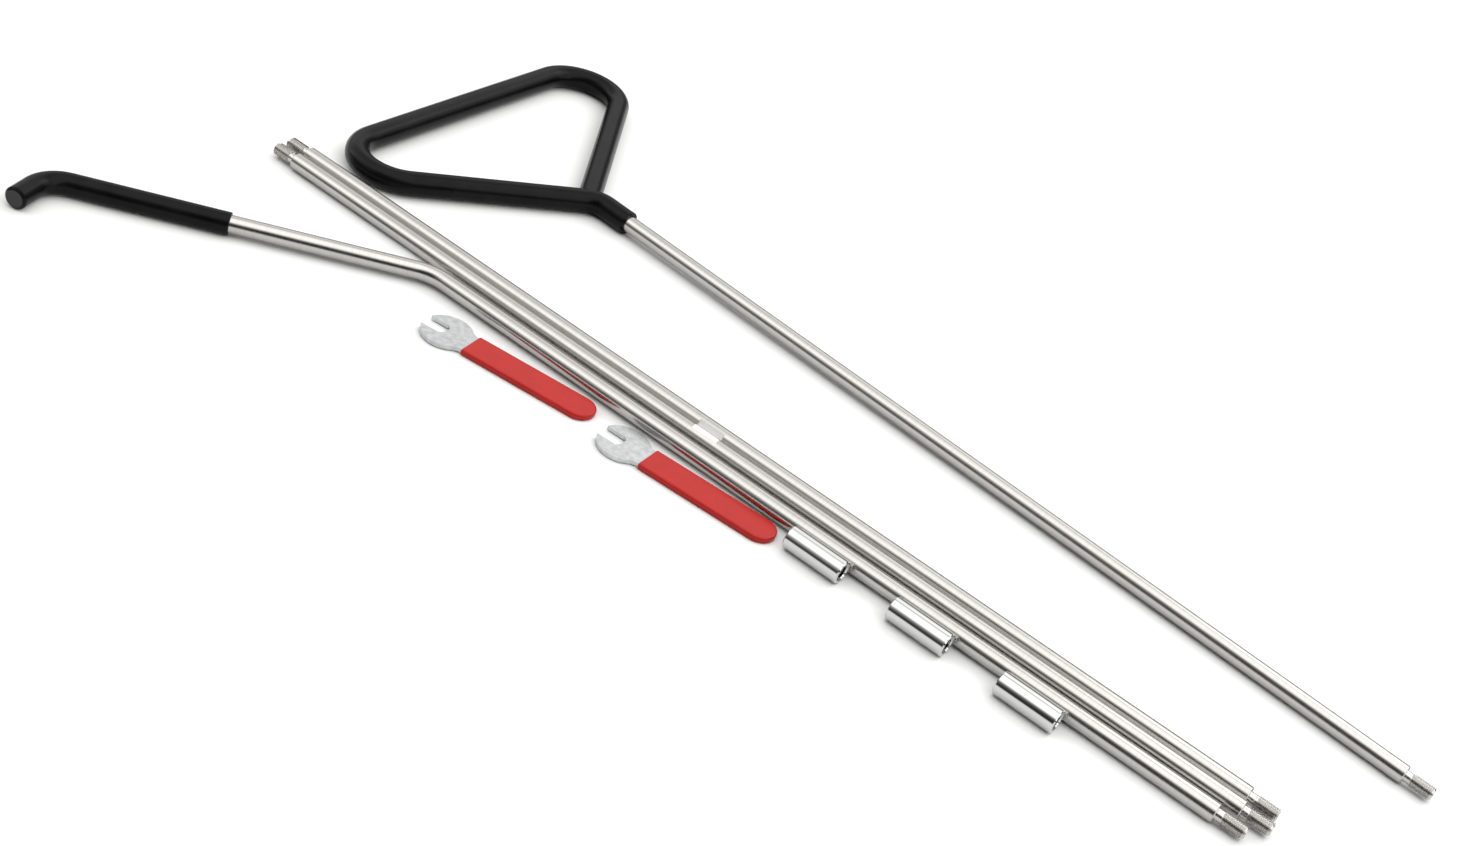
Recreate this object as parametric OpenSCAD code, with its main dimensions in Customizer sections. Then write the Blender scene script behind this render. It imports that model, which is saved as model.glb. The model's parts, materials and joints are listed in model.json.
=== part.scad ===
// Take-down reach pole kit, laid out flat on the floor.
// A pole with a closed D-shaped handle, a pole with a bent handle, two double-ended
// extension rods, three threaded coupling sleeves and two flat open-end wrenches.
// X runs along the extension rods, Z is up and Z = 0 is the floor.

/* [Rod stock and threads] */
// Diameter of the round bar that every pole is made of
rod_d = 12.7; // [10:0.1:16]
// Outside diameter of the male threads
thread_d = 9.525; // [7:0.025:9.9]
// Distance from one thread crest to the next
thread_pitch = 1.27; // [1:0.01:2]
// Number of thread crests on each threaded end
thread_crests = 12; // [5:1:12]
// Length of the plain neck between a thread and the shoulder
relief_l = 4; // [2:0.5:8]
// How much deeper than the thread's root the plain neck is turned
relief_cut = 0.15; // [0.05:0.05:0.5]
// Bevel on every rod shoulder
rod_bevel = 0.6; // [0.2:0.1:1.5]

/* [Extension rods] */
// Length of an extension rod between its two shoulders
ext_l = 777; // [300:1:1200]
// How deep each wrench flat is cut into the rod
flat_depth = 0.45; // [0.25:0.05:1.5]
// Length of the wrench flats along the rod
flats_l = 20; // [12:1:40]
// Distance of the flats from the middle of the rod
flats_shift = -11; // [-40:1:40]
// How far the flats of the first rod are rolled from facing up
flats_roll_1 = 54; // [0:1:90]
// How far the flats of the second rod are rolled from facing up
flats_roll_2 = 5; // [0:1:90]

/* [Coupling sleeves] */
// Outside diameter of a coupling sleeve
coupling_d = 15.9; // [13:0.1:20]
// Length of a coupling sleeve
coupling_l = 41; // [36:0.5:60]
// Gap all round between a male thread's crests and the sleeve's wall
thread_clearance = 0.1; // [0.02:0.01:0.2]
// Bevel on the outside edges of the sleeve
coupling_bevel = 0.6; // [0.2:0.1:1.2]
// Lead-in bevel at both mouths of the sleeve
coupling_lead = 0.9; // [0.3:0.1:1.5]

/* [D handle pole] */
// Bare length from the shoulder to the end of the rubber sleeve
d_bare_l = 659.5; // [300:0.5:900]
// Length of rubber-covered neck before the pole bends into the loop
d_neck_l = 32.5; // [22:0.5:60]
// How far the near corner of the loop lies beyond the neck bend
loop_near_reach = 128; // [80:1:200]
// How far the near corner of the loop stands out sideways
loop_near_out = 202; // [120:1:240]
// How far the far corner of the loop lies beyond the neck bend
loop_far_reach = 172; // [80:1:220]
// How far the far corner of the loop stands out sideways
loop_far_out = 231.5; // [120:0.5:260]
// Bend radius of the bar at both corners of the loop
loop_corner_r = 33.5; // [20:0.5:45]
// Bend radius of the bar where the neck turns into the loop
loop_neck_r = 19; // [14:1:30]
// How far past the neck bend's corner the loop's last leg lands on its first leg
weld_l = 7.5; // [0:0.5:9]
// Thickness of the rubber sleeve on the loop
d_grip_wall = 2.65; // [1.2:0.05:4.5]

/* [Bent handle pole] */
// Length from the shoulder to the bend
bent_shaft_l = 613; // [300:1:900]
// Angle of the bend
bend_angle = 36; // [10:1:60]
// Length from the bend to the hook
bent_leg_l = 257; // [150:1:350]
// Bare length between the bend and the rubber sleeve
bent_bare_l = 137; // [30:1:140]
// Angle that the end turns through to make the hook
hook_angle = 72; // [30:1:90]
// Length of the hook beyond its corner
hook_l = 35; // [30:1:60]
// Bend radius of the bar at the bend
bend_r = 38; // [25:1:60]
// Bend radius of the bar at the hook
hook_r = 21.5; // [14:0.5:30]
// Thickness of the rubber sleeve on the bent handle
bent_grip_wall = 1.55; // [0.9:0.05:3.5]
// Thickness of rubber that closes the end of the hook
grip_end_t = 3; // [2:0.5:6]
// Bevel round the closed end of the hook
grip_end_bevel = 1.8; // [0.5:0.1:2.5]
// Gap all round between the bar and the inside of a rubber sleeve
sleeve_clearance = 0.03; // [0.01:0.01:0.1]

/* [Wrenches] */
// How much wider the wrench opening is than the flats it fits
jaw_clearance = 0.3; // [0.1:0.05:0.6]
// Diameter of the wrench head
head_d = 35.5; // [30:0.5:44]
// Overall length of the wrench with its grip
wrench_l = 133; // [110:1:180]
// Thickness of the steel plate
plate_t = 3; // [2:0.1:4]
// Width of the steel shank
shank_w = 20; // [16:0.5:24]
// Distance from the jaw tips to the front of the grip
grip_start = 35.5; // [33:0.5:60]
// Thickness of the dipped grip at each edge of the shank
wrench_grip_edge = 1.5; // [0.8:0.1:3]
// Thickness of the dipped grip above and below the plate
wrench_grip_skin = 0.8; // [0.5:0.1:2]
// Rounding of the grip's edges
wrench_grip_r = 1.4; // [0.5:0.1:1.8]

/* [Layout on the floor] */
// Sideways place of the first extension rod
ext_1_y = 8; // [7:0.5:30]
// Lengthwise place of the first extension rod's left shoulder
ext_1_x = 1; // [-20:1:20]
// Gap between the two extension rods
ext_gap = 1.5; // [0.5:0.1:6]
// Lengthwise place of the second extension rod's left shoulder
ext_2_x = 3; // [-20:1:20]
// Lengthwise place of the D handle pole's shoulder
d_x = 841; // [800:1:900]
// Gap between the D handle's loop and the first extension rod, seen from above
loop_gap = 7.4; // [2:0.1:40]
// Angle between the D handle pole and the extension rods
d_yaw = 3.7; // [3.4:0.1:6]
// Lengthwise place of the bent handle pole's shoulder
bent_x = 770; // [740:1:800]
// Gap between the bent handle pole's shoulder and the second extension rod
bent_gap = 3.4; // [2:0.1:12]
// Angle between the bent handle pole and the extension rods
bent_yaw = 0.3; // [0:0.1:1]
// Lengthwise place of the middle of the first coupling sleeve
coupling_x = 494; // [480:1:520]
// Distance between the middles of neighbouring coupling sleeves
coupling_step = 78; // [65:1:95]
// Gap between the coupling sleeves and the line of the bent pole's shoulder
coupling_gap = 2.2; // [2:0.1:20]
// Lengthwise place of the first wrench's jaw tips
wrench_1_x = 188.5; // [180:0.5:200]
// How far the first wrench's jaw tips lie from the line of the bent pole's shoulder
wrench_1_out = 35.35; // [34.35:0.5:60]
// Angle of the first wrench
wrench_1_yaw = 8; // [0:0.5:8.5]
// Lengthwise place of the second wrench's jaw tips
wrench_2_x = 333.5; // [325:0.5:340]
// How far the second wrench's jaw tips lie from the line of the bent pole's shoulder
wrench_2_out = 24.35; // [23.85:0.5:60]
// Angle of the second wrench
wrench_2_yaw = 4.5; // [-5:0.5:4.5]

/* [Hidden] */
$fn = 64;
eps = 0.01;
bend_lap = 0.5;
bend_fatter = 0.2;
steel = [0.78, 0.77, 0.74];
bright = [0.86, 0.86, 0.84];
rubber = [0.05, 0.05, 0.055];
vinyl = [0.80, 0.16, 0.13];

thread_root_d = thread_d - 2 * 0.6134 * thread_pitch;
thread_l = thread_crests * thread_pitch;
stub_l = relief_l + thread_l;
coupling_bore_d = thread_d + 2 * thread_clearance;
relief_d = thread_root_d - 2 * relief_cut;
d_grip_d = rod_d + 2 * d_grip_wall;
bent_grip_d = rod_d + 2 * bent_grip_wall;
flats_across = rod_d - 2 * flat_depth;
jaw_w = flats_across + jaw_clearance;
wrench_grip_w = shank_w + 2 * wrench_grip_edge;
wrench_grip_t = plate_t + 2 * wrench_grip_skin;

// The kit's pieces lie side by side, each a named gap from the one before
ext_2_y = ext_1_y - rod_d - ext_gap;
bent_y = ext_2_y - rod_d - bent_gap;
bent_side = bent_y - rod_d / 2;
coupling_y = bent_side - coupling_gap - coupling_d / 2;
wrench_1_y = bent_side - wrench_1_out;
wrench_2_y = bent_side - wrench_2_out;

// Corner points of a pole's centre line, in its own plane: the shoulder is at the
// start and the line runs along +X from there.
d_bend = [d_bare_l + d_neck_l, 0];
d_near = d_bend + [loop_near_reach, loop_near_out];
d_far = d_bend + [loop_far_reach, -loop_far_out];
function unit(v) = v / norm(v);
function heading(a, b) = atan2(b[1] - a[1], b[0] - a[0]);
function wrap(a) = a > 180 ? a - 360 : (a < -180 ? a + 360 : a);
function turn(p, i) = wrap(heading(p[i], p[i + 1]) - heading(p[i - 1], p[i]));
function tangent(p, r, i) = (i == 0 || i == len(p) - 1) ? 0 : r[i] * tan(abs(turn(p, i)) / 2);
function side(a) = a > 0 ? 1 : -1;
function left_of(h) = [-sin(h), cos(h)];
function arc_centre(p, r, i) = p[i] - tangent(p, r, i) * unit(p[i] - p[i - 1])
    + side(turn(p, i)) * r[i] * left_of(heading(p[i - 1], p[i]));

// The loop's last leg is welded onto the first, near the neck bend. The bar inside the
// sleeve is a node of its own, which meets the shaft halfway along the straight neck.
neck_pts = [[0, 0], d_bend, d_near];
weld_pt = d_bend + weld_l * unit(d_near - d_bend);
d_path = [[0, 0], d_bend, d_near, d_far, weld_pt];
d_radii = [0, loop_neck_r, loop_corner_r, loop_corner_r, 0];
d_grip_path = [[d_bare_l, 0], d_bend, d_near, d_far, weld_pt];

bent_corner = [bent_shaft_l, 0];
bent_elbow = bent_corner + bent_leg_l * [cos(bend_angle), sin(bend_angle)];
hook_dir = [cos(bend_angle + hook_angle), sin(bend_angle + hook_angle)];
bent_tip = bent_elbow + hook_l * hook_dir;
bent_path = [[0, 0], bent_corner, bent_elbow, bent_tip - grip_end_t * hook_dir];
bent_radii = [0, bend_r, hook_r, 0];
bent_grip_from = bent_corner + bent_bare_l * [cos(bend_angle), sin(bend_angle)];
bent_grip_radii = [0, hook_r, 0];

// A pole with a fat sleeve at one end lies a little nose down: its shoulder and the
// lowest part of the sleeve both touch the floor.
neck_ring_from = d_bare_l + d_neck_l - tangent(neck_pts, [0, loop_neck_r, 0], 1) - bend_lap;
d_tilt = max(
    asin((d_grip_d - rod_d) / 2 / d_bare_l),
    asin((d_grip_d + bend_fatter - rod_d) / 2 / neck_ring_from)
);
d_seam = (d_bare_l + neck_ring_from) / 2;
bent_seam = bent_shaft_l - tangent(bent_path, bent_radii, 1) - bend_r / 4;
bent_sleeve_s = bent_grip_from[0];
bent_tilt = asin((bent_grip_d - rod_d) / 2 / bent_sleeve_s);

// Floor place of a point of a pole's own plane
function on_floor(q, x, y, yaw) = [
    x + q[0] * cos(yaw) - q[1] * sin(yaw),
    y + q[0] * sin(yaw) + q[1] * cos(yaw)
];
d_turn = 180 - d_yaw;
bent_turn = 180 + bent_yaw;

// The near corner of the loop is the D handle's nearest place to the extension rods
near_c = on_floor(arc_centre(d_path, d_radii, 2), 0, 0, d_turn);
near_reach = loop_corner_r + (d_grip_d + bend_fatter) / 2 - near_c[1];
d_y = ext_1_y + rod_d / 2 + loop_gap + near_reach;

// The whole layout's box, which centres it on the origin
hook_c = on_floor(arc_centre(bent_path, bent_radii, 2), bent_x, bent_y, bent_turn);
far_c = on_floor(arc_centre(d_path, d_radii, 3), d_x, d_y, d_turn);
tip_c = on_floor(bent_tip - grip_end_bevel * hook_dir, bent_x, bent_y, bent_turn);
tip_heading = bent_turn + bend_angle + hook_angle;
stub_tip = on_floor([-stub_l, 0], d_x, d_y, d_turn);
x_low = hook_c[0] - hook_r - (bent_grip_d + bend_fatter) / 2;
x_high = stub_tip[0] + thread_root_d / 2 * abs(sin(d_yaw));
y_high = far_c[1] + loop_corner_r + (d_grip_d + bend_fatter) / 2;
y_low = tip_c[1] + grip_end_bevel * sin(tip_heading)
    - (bent_grip_d / 2 - grip_end_bevel) * abs(cos(tip_heading));
y_low_b = tip_c[1] - bent_grip_d / 2 * abs(cos(tip_heading));
mid_x = (x_low + x_high) / 2;
mid_y = (min(y_low, y_low_b) + y_high) / 2;

// Moves the layout so that the middle of its footprint is the origin
module on_origin() {
    translate([-mid_x, -mid_y, 0])
        children();
}

module bar_x(l, d) {
    rotate([0, 90, 0])
        cylinder(h = l, d = d);
}

module cone_x(l, d1, d2) {
    rotate([0, 90, 0])
        cylinder(h = l, d1 = d1, d2 = d2);
}

// One bend of a round bar: the part of a ring from one heading to the next. Its ends
// run a little way over the straight bars, and it is a hair fatter than they are.
module bend(p, r, i, d) {
    t = turn(p, i);
    c = arc_centre(p, r, i);
    from = t > 0 ? heading(p[i - 1], p[i]) - 90 : heading(p[i], p[i + 1]) + 90;
    lap = bend_lap / r[i] * 180 / PI;
    translate([c[0], c[1], 0])
        rotate([0, 0, from - lap])
            rotate_extrude(angle = abs(t) + 2 * lap)
                translate([r[i], 0])
                    circle(d = d + bend_fatter);
}

// A straight round bar along +X, with a bevel at each end where one is given
module leg(l, d, start_bevel, end_bevel) {
    rotate([0, 90, 0])
        rotate_extrude()
            polygon(concat(
                [[0, 0]],
                start_bevel > 0 ? [[d / 2 - start_bevel, 0], [d / 2, start_bevel]] : [[d / 2, 0]],
                end_bevel > 0 ? [[d / 2, l - end_bevel], [d / 2 - end_bevel, l]] : [[d / 2, l]],
                [[0, l]]
            ));
}

// A round bar along a line of corner points, with a bend at each inner corner
module bent_bar(p, r, d, start_bevel = 0, end_bevel = 0) {
    last = len(p) - 2;
    for (i = [0 : last]) {
        a = p[i] + tangent(p, r, i) * unit(p[i + 1] - p[i]);
        b = p[i + 1] - tangent(p, r, i + 1) * unit(p[i + 1] - p[i]);
        translate([a[0], a[1], 0])
            rotate([0, 0, heading(p[i], p[i + 1])])
                leg(norm(b - a), d, i == 0 ? start_bevel : 0, i == last ? end_bevel : 0);
    }
    for (i = [1 : len(p) - 2])
        bend(p, r, i, d);
}

// Outline of half a thread: root flat, rising flank, crest flat, falling flank
function thread_outline() = concat(
    [[0, 0], [thread_root_d / 2, 0]],
    [for (i = [0 : thread_crests - 1]) each [
        [thread_root_d / 2, (i + 4 / 16) * thread_pitch],
        [thread_d / 2, (i + 9 / 16) * thread_pitch],
        [thread_d / 2, (i + 11 / 16) * thread_pitch],
        [thread_root_d / 2, (i + 1) * thread_pitch]
    ]],
    [[0, thread_l]]
);

// Plain neck and thread, standing out along +X from a shoulder at X = 0
module threaded_end() {
    translate([-1, 0, 0])
        bar_x(relief_l + 1, relief_d);
    translate([relief_l - eps, 0, 0])
        rotate([0, 90, 0])
            rotate_extrude()
                polygon(thread_outline());
}

module place_d() {
    on_origin()
        translate([d_x, d_y, rod_d / 2])
            rotate([0, 0, d_turn])
                rotate([0, -d_tilt, 0])
                    children();
}

module place_bent() {
    on_origin()
        translate([bent_x, bent_y, rod_d / 2])
            rotate([0, 0, bent_turn])
                rotate([0, -bent_tilt, 0])
                    children();
}

module d_handle_shaft() {
    color(steel)
        place_d() {
            mirror([1, 0, 0])
                threaded_end();
            leg(d_seam, rod_d, rod_bevel, 0);
        }
}

module d_handle_bar() {
    color(steel)
        place_d()
            bent_bar(concat([[d_seam, 0]], [for (i = [1 : 4]) d_path[i]]), d_radii, rod_d);
}

module d_handle_grip() {
    color(rubber)
        place_d()
            difference() {
                bent_bar(d_grip_path, d_radii, d_grip_d);
                bent_bar(concat([[d_bare_l - 1, 0]], [for (i = [1 : 4]) d_path[i]]), d_radii,
                    rod_d + 2 * sleeve_clearance);
            }
}

module bent_handle_shaft() {
    color(steel)
        place_bent() {
            mirror([1, 0, 0])
                threaded_end();
            leg(bent_seam, rod_d, rod_bevel, 0);
        }
}

module bent_handle_bar() {
    color(steel)
        place_bent()
            bent_bar(concat([[bent_seam, 0]], [for (i = [1 : 3]) bent_path[i]]), bent_radii, rod_d);
}

module bent_handle_grip() {
    bore_from = bent_grip_from - [cos(bend_angle), sin(bend_angle)];
    color(rubber)
        place_bent()
            difference() {
                bent_bar([bent_grip_from, bent_elbow, bent_tip], bent_grip_radii, bent_grip_d,
                    end_bevel = grip_end_bevel);
                bent_bar([bore_from, bent_elbow, bent_path[3] + sleeve_clearance * hook_dir],
                    bent_grip_radii, rod_d + 2 * sleeve_clearance);
            }
}

// A double-ended extension rod with two opposite wrench flats near its middle
module extension_rod(x, y, roll) {
    flat_x = ext_l / 2 + flats_shift;
    color(steel)
        on_origin()
            translate([x, y, rod_d / 2])
                rotate([roll, 0, 0])
                    difference() {
                        union() {
                            mirror([1, 0, 0])
                                threaded_end();
                            translate([ext_l, 0, 0])
                                threaded_end();
                            cone_x(rod_bevel, rod_d - 2 * rod_bevel, rod_d);
                            translate([rod_bevel, 0, 0])
                                bar_x(ext_l - 2 * rod_bevel, rod_d);
                            translate([ext_l - rod_bevel, 0, 0])
                                cone_x(rod_bevel, rod_d, rod_d - 2 * rod_bevel);
                        }
                        for (s = [-1, 1])
                            translate([flat_x, 0, s * (flats_across / 2 + rod_d / 2)])
                                cube([flats_l, 2 * rod_d, rod_d], center = true);
                    }
}

module extension_rod_1() {
    extension_rod(ext_1_x, ext_1_y, flats_roll_1);
}

module extension_rod_2() {
    extension_rod(ext_2_x, ext_2_y, flats_roll_2);
}

// A bored sleeve with bevelled edges, lying along X
module coupling(i) {
    r_out = coupling_d / 2;
    r_in = coupling_bore_d / 2;
    color(bright)
        on_origin()
            translate([coupling_x + i * coupling_step - coupling_l / 2, coupling_y, r_out])
                rotate([0, 90, 0])
                    rotate_extrude()
                        polygon([
                            [r_in + coupling_lead, 0],
                            [r_out - coupling_bevel, 0],
                            [r_out, coupling_bevel],
                            [r_out, coupling_l - coupling_bevel],
                            [r_out - coupling_bevel, coupling_l],
                            [r_in + coupling_lead, coupling_l],
                            [r_in, coupling_l - coupling_lead],
                            [r_in, coupling_lead]
                        ]);
}

module coupling_1() {
    coupling(0);
}

module coupling_2() {
    coupling(1);
}

module coupling_3() {
    coupling(2);
}

// Flat outline of a wrench: round head, straight slot, waist and shank.
// The jaw tips are near X = 0 and the shank runs along +X.
waist_r = 9;
head_x = head_d / 2 - 0.9;
waist_y = shank_w / 2 + waist_r;
waist_x = head_x + sqrt(pow(head_d / 2 + waist_r, 2) - pow(waist_y, 2));
waist_a = atan2(waist_y, waist_x - head_x);
tip_a = 180 - asin(jaw_w / head_d);
shank_end = wrench_l - 6;
tail_c = shank_end - shank_w / 2;
slot_cut = jaw_w / 4;
function arc(x, y, r, from, to, n) = [for (i = [0 : n])
    [x + r * cos(from + (to - from) * i / n), y + r * sin(from + (to - from) * i / n)]];
half_blade = concat(
    [[head_x, jaw_w / 2 - slot_cut], [head_x - slot_cut, jaw_w / 2]],
    arc(head_x, 0, head_d / 2, tip_a, waist_a, 40),
    arc(waist_x, waist_y, waist_r, waist_a + 180, 270, 8),
    arc(tail_c, 0, shank_w / 2, 90, 5, 17)
);
module blade_outline() {
    n = len(half_blade);
    polygon(concat(
        half_blade,
        [[shank_end, 0]],
        [for (i = [n - 1 : -1 : 0]) [half_blade[i][0], -half_blade[i][1]]]
    ));
}

// Cross-section of the dipped grip: a rectangle with rounded corners
module grip_section() {
    r = wrench_grip_r;
    translate([-wrench_grip_w / 2, r])
        square([wrench_grip_w, wrench_grip_t - 2 * r]);
    translate([-wrench_grip_w / 2 + r, 0])
        square([wrench_grip_w - 2 * r, wrench_grip_t]);
    for (x = [-1, 1], z = [r, wrench_grip_t - r])
        translate([x * (wrench_grip_w / 2 - r), z])
            circle(r = r);
}

module grip_shape() {
    tail_x = wrench_l - wrench_grip_w / 2;
    translate([tail_x, 0, 0])
        rotate([90, 0, -90])
            linear_extrude(height = tail_x - grip_start)
                grip_section();
    translate([tail_x, 0, 0])
        rotate([0, 0, -90])
            rotate_extrude(angle = 180)
                intersection() {
                    grip_section();
                    square([wrench_grip_w, wrench_grip_t]);
                }
}

module place_wrench(x, y, yaw) {
    on_origin()
        translate([x, y, 0])
            rotate([0, 0, yaw])
                children();
}

plate_z = (wrench_grip_t - plate_t) / 2;
module wrench_blade(x, y, yaw) {
    color(bright)
        place_wrench(x, y, yaw)
            translate([0, 0, plate_z])
                linear_extrude(height = plate_t)
                    blade_outline();
}

module wrench_grip(x, y, yaw) {
    g = sleeve_clearance;
    color(vinyl)
        place_wrench(x, y, yaw)
            difference() {
                grip_shape();
                translate([0, 0, plate_z - g])
                    linear_extrude(height = plate_t + 2 * g) {
                        translate([grip_start - 1, -shank_w / 2 - g])
                            square([shank_end - shank_w / 2 - grip_start + 1, shank_w + 2 * g]);
                        translate([shank_end - shank_w / 2, 0])
                            circle(d = shank_w + 2 * g);
                    }
            }
}

module wrench_1_blade() {
    wrench_blade(wrench_1_x, wrench_1_y, wrench_1_yaw);
}

module wrench_1_grip() {
    wrench_grip(wrench_1_x, wrench_1_y, wrench_1_yaw);
}

module wrench_2_blade() {
    wrench_blade(wrench_2_x, wrench_2_y, wrench_2_yaw);
}

module wrench_2_grip() {
    wrench_grip(wrench_2_x, wrench_2_y, wrench_2_yaw);
}

d_handle_shaft();
d_handle_bar();
d_handle_grip();
bent_handle_shaft();
bent_handle_bar();
bent_handle_grip();
extension_rod_1();
extension_rod_2();
coupling_1();
coupling_2();
coupling_3();
wrench_1_blade();
wrench_1_grip();
wrench_2_blade();
wrench_2_grip();
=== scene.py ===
# %% [markdown]
# # A take-down reach pole kit, laid out on a white floor
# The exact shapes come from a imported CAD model, which is loaded first and never changed.
# Every surface that shows is then modelled again here with softer edges, real screw threads
# and finishes.

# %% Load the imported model
import json
import math
import bpy
from mathutils import Matrix, Vector


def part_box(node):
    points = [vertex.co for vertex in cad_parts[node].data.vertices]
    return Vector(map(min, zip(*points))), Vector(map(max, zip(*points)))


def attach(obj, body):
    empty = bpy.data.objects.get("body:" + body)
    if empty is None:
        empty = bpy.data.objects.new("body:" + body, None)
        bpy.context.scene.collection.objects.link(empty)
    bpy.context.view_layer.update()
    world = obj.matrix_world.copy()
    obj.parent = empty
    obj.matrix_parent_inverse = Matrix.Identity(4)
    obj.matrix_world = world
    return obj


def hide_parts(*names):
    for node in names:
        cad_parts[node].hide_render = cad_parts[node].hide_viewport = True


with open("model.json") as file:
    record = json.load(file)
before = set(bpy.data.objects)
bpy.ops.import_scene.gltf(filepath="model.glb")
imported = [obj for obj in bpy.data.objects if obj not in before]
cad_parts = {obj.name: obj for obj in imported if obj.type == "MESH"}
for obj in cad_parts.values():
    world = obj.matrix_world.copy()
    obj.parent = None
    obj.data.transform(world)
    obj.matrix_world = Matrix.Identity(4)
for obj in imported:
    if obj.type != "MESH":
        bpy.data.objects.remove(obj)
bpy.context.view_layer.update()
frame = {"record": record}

# %% [markdown]
# ## Where things are
# The record that comes with the model holds mounting points. The ones on the threaded ends
# lie 18 mm out from a pole's shoulder, along its axis, so each pole's shoulder and direction
# follow from them. Taking places from the record keeps the pictures and the CAD together.

# %% Shoulders and directions
MM = 0.001
MOUNT_OUT = 18
mounts = {m["name"]: m for m in frame["record"]["mounts"]}


def shoulder_of(mount):
    """Shoulder point on the axis, and the way the pole runs from it, in metres."""
    out = Vector(mounts[mount]["axis"]).normalized()
    return Vector(mounts[mount]["pos_m"]) - MOUNT_OUT * MM * out, -out


for each in ("d_handle_thread", "bent_handle_thread", "extension_1_thread_low_x"):
    at, along = shoulder_of(each)
    print(each, "shoulder", [round(v, 4) for v in at], "runs", [round(v, 3) for v in along])

# %% [markdown]
# ## The camera
# The camera is placed by its own three directions (right, up and back), because that
# states a rolled view most plainly.

# %% Place the camera
bpy.ops.object.select_all(action="DESELECT")
bpy.ops.object.camera_add()
camera = bpy.context.object
camera.name = "camera"
right = Vector((0.7729796, 0.57020697, 0.27814843))
up = Vector((-0.52339277, 0.32535916, 0.78752869))
back = Vector((0.35855621, -0.75432448, 0.5499382))
turn = Matrix((right, up, back)).transposed().to_4x4()
camera.matrix_world = Matrix.Translation((0.43683, -0.98692, 0.70933)) @ turn
camera.data.sensor_width = 36
camera.data.lens = 47.6255
camera.data.clip_start = 0.05
camera.data.clip_end = 60
bpy.context.scene.camera = camera
print("camera height:", round(camera.location.z, 3), "m, lens:", camera.data.lens, "mm")

# %% [markdown]
# ## Floor and light
# A polished bar shows nothing but its surroundings, so the room matters more than the metal's
# own colour. Here it is a white table under a broad bright sky with a dark side behind the
# camera. The sky's brightness goes by the angle round the poles' long axis, as it would with
# long strip lights hung above them, and that draws the long bands that a round bar shows.
# The strips end part of the way along, so the far ends of the poles reflect softer bands.

# %% Lay the floor
bpy.ops.mesh.primitive_plane_add(size=30, location=(0, 0, 0))
floor = bpy.context.object
floor.name = "floor"
floor_paint = bpy.data.materials.new("floor_white")
floor_paint.use_nodes = True
paint = floor_paint.node_tree.nodes["Principled BSDF"]
paint.inputs["Base Color"].default_value = (0.76, 0.76, 0.76, 1)
paint.inputs["Roughness"].default_value = 0.75
paint.inputs["Specular IOR Level"].default_value = 0.2
floor.data.materials.append(floor_paint)
print("floor:", tuple(round(v, 1) for v in floor.dimensions))

# %% Paint the sky by its angle round the long axis
world = bpy.data.worlds.new("studio")
bpy.context.scene.world = world
world.use_nodes = True
sky = world.node_tree
for old in list(sky.nodes):
    sky.nodes.remove(old)
facing = sky.nodes.new("ShaderNodeTexCoord")
parts = sky.nodes.new("ShaderNodeSeparateXYZ")
angle = sky.nodes.new("ShaderNodeMath")
angle.operation = "ARCTAN2"
share = sky.nodes.new("ShaderNodeMath")
share.operation = "DIVIDE"
share.inputs[1].default_value = math.pi
sky.links.new(facing.outputs["Generated"], parts.inputs[0])
sky.links.new(parts.outputs["Z"], angle.inputs[0])
sky.links.new(parts.outputs["Y"], angle.inputs[1])
sky.links.new(angle.outputs[0], share.inputs[0])


def sky_bands(stops):
    """Brightness by the angle from the far horizon, 0, over the top to the near one, 1."""
    bands = sky.nodes.new("ShaderNodeValToRGB")
    bands.color_ramp.interpolation = "LINEAR"
    ramp = bands.color_ramp.elements
    while len(ramp) < len(stops):
        ramp.new(0.5)
    for element, (place, level) in zip(ramp, stops):
        element.position = place
        element.color = (level, level, level * 0.985, 1)
    sky.links.new(share.outputs[0], bands.inputs[0])
    return bands.outputs[0]


near_bands = sky_bands([
    (0.00, 0.12), (0.09, 0.15), (0.14, 1.70), (0.30, 2.00), (0.34, 0.90), (0.37, 0.90),
    (0.41, 2.20), (0.60, 2.20), (0.66, 2.20), (0.72, 0.80), (0.77, 0.12), (0.80, 0.02),
    (0.95, 0.02), (0.99, 0.60)])
far_bands = sky_bands([
    (0.00, 0.15), (0.09, 0.20), (0.16, 1.20), (0.30, 1.30), (0.36, 0.90), (0.45, 1.20),
    (0.55, 1.80), (0.64, 2.40), (0.70, 2.20), (0.77, 1.20), (0.84, 0.50), (0.90, 0.12),
    (0.95, 0.12), (0.99, 0.40)])
print("sky bands: two sets")

# %% Blend the two sets of bands along the poles
sideways = sky.nodes.new("ShaderNodeMapRange")
for socket, number in zip(sideways.inputs[1:5], (-0.10, -0.50, 0.0, 1.0)):
    socket.default_value = number
mixed = sky.nodes.new("ShaderNodeMix")
mixed.data_type = "RGBA"
glow = sky.nodes.new("ShaderNodeBackground")
glow.inputs["Strength"].default_value = 1.0
out = sky.nodes.new("ShaderNodeOutputWorld")
sky.links.new(parts.outputs["X"], sideways.inputs[0])
sky.links.new(sideways.outputs[0], mixed.inputs[0])
sky.links.new(near_bands, mixed.inputs[6])
sky.links.new(far_bands, mixed.inputs[7])
sky.links.new(mixed.outputs[2], glow.inputs["Color"])
sky.links.new(glow.outputs[0], out.inputs["Surface"])
print("sky joined to the world")

bpy.ops.object.light_add(type="AREA", location=(0.75, 1.45, 1.9))
lamp = bpy.context.object
lamp.name = "back_lamp"
lamp.data.shape = "RECTANGLE"
lamp.data.size = 1.6
lamp.data.size_y = 1.2
lamp.data.energy = 12
lamp.rotation_euler = (Vector((0, 0, 0)) - lamp.location).to_track_quat("-Z", "Y").to_euler()
bpy.context.scene.view_settings.view_transform = "Standard"
print("lamp at", tuple(round(v, 2) for v in lamp.location))

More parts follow.
